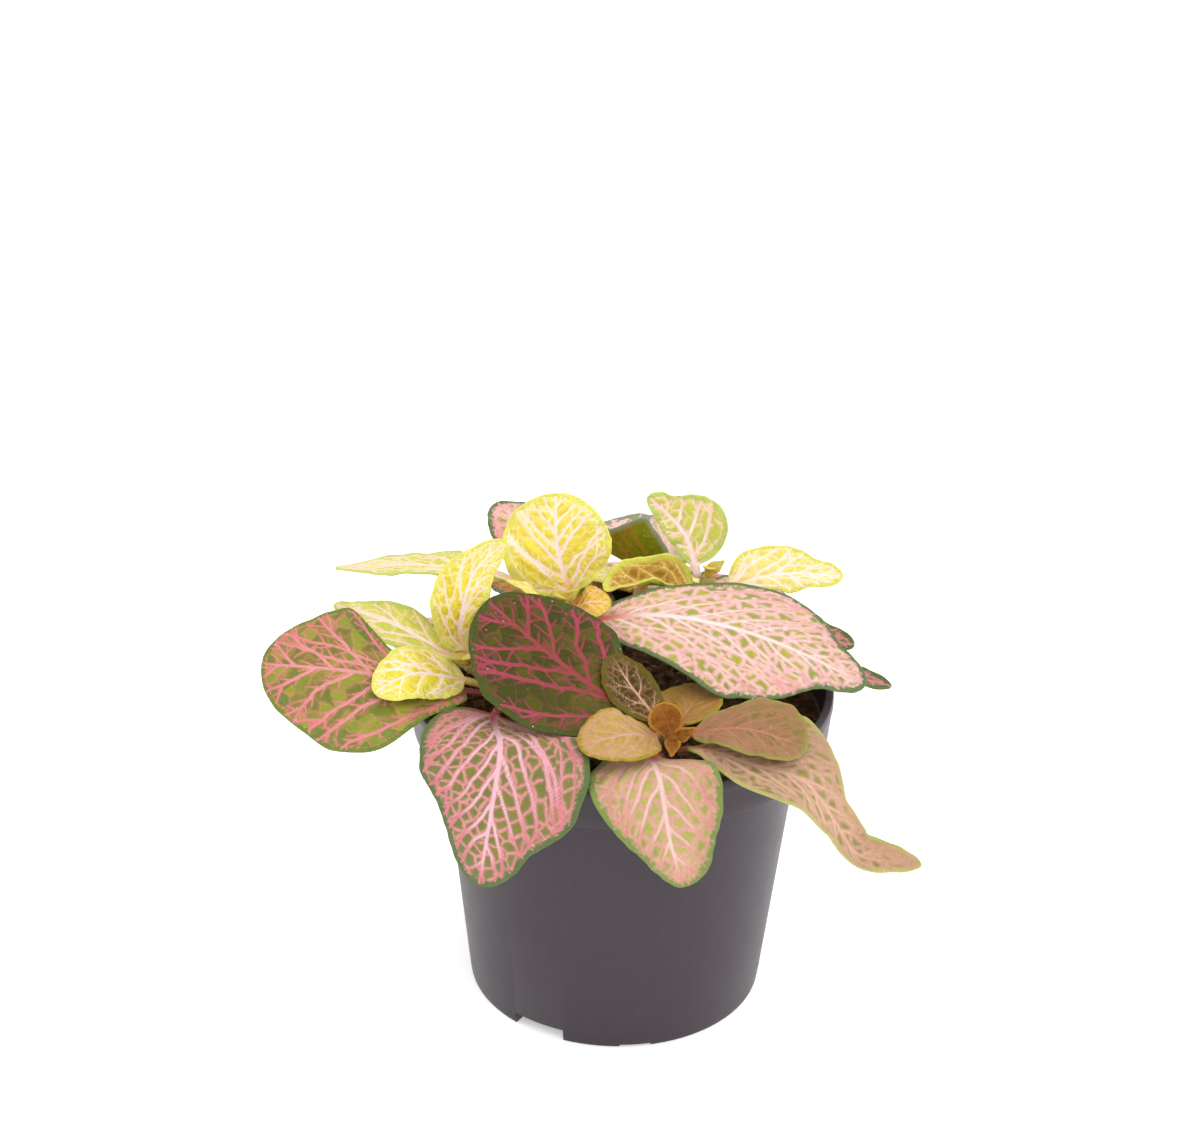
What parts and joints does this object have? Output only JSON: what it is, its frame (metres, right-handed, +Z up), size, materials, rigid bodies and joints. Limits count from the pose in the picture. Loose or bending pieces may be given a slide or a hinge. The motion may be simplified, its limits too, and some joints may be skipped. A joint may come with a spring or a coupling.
{
  "type": "potted nerve plant",
  "caption": "Small potted foliage plant with wavy net-veined leaves in green, pink and yellow that spill over the rim of a round tapered plastic pot filled with soil.",
  "frame": {"origin": "middle of the pot's flat underside, on the surface it stands on", "axes": "+Z up; -Y is the front, from which most leaves lean out over the rim; +X is to the viewer's right"},
  "size_m": [0.1821, 0.1448, 0.1466],
  "materials": {
    "pot": "satin dark plum-grey moulded plastic",
    "soil": "moist dark peat crumbs",
    "stem": "soft downy olive-brown stem",
    "heart": "soft orange-yellow young leaf and bud",
    "leaf_dark": "satin dark green leaf with rose veins",
    "leaf_rose": "satin pink leaf with green margin",
    "leaf_gold": "satin yellow young leaf with cream veins",
    "leaf_lime": "satin yellow-green leaf with pale veins",
    "leaf_blush": "satin straw and pale pink leaf"
  },
  "bodies": {
    "root": {"pot": "pot", "soil": "soil", "stem_left": "stem", "stem_middle": "stem", "stem_right": "stem", "stem_front": "stem", "stem_back": "stem", "heart_left": "heart", "heart_middle": "heart", "heart_right": "heart", "heart_front": "heart", "heart_back": "heart", "leaf_left_large": "leaf_dark", "leaf_left_lime": "leaf_lime", "leaf_left_gold": "leaf_gold", "leaf_left_upright": "leaf_gold", "leaf_left_back": "leaf_rose", "leaf_front_left": "leaf_rose", "leaf_middle_long": "leaf_lime", "leaf_middle_round": "leaf_gold", "leaf_middle_dark": "leaf_rose", "leaf_middle_large": "leaf_rose", "leaf_middle_young_left": "leaf_gold", "leaf_middle_young_right": "leaf_gold", "leaf_middle_back": "leaf_dark", "leaf_right_upright": "leaf_lime", "leaf_right_gold": "leaf_gold", "leaf_right_curled": "leaf_gold", "leaf_right_folded": "leaf_dark", "leaf_right_dark": "leaf_dark", "leaf_right_rose": "leaf_rose", "leaf_right_back": "leaf_rose", "leaf_front_dark": "leaf_dark", "leaf_front_middle": "leaf_rose", "leaf_front_peach": "leaf_blush", "leaf_front_dim": "leaf_blush", "leaf_front_olive": "leaf_blush", "leaf_front_tan": "leaf_blush", "leaf_front_long": "leaf_rose", "leaf_back_gold_left": "leaf_gold", "leaf_back_gold_right": "leaf_gold", "leaf_back_large": "leaf_rose", "leaf_back_low_left": "leaf_rose", "leaf_back_low_right": "leaf_dark"}
  },
  "joints": []
}
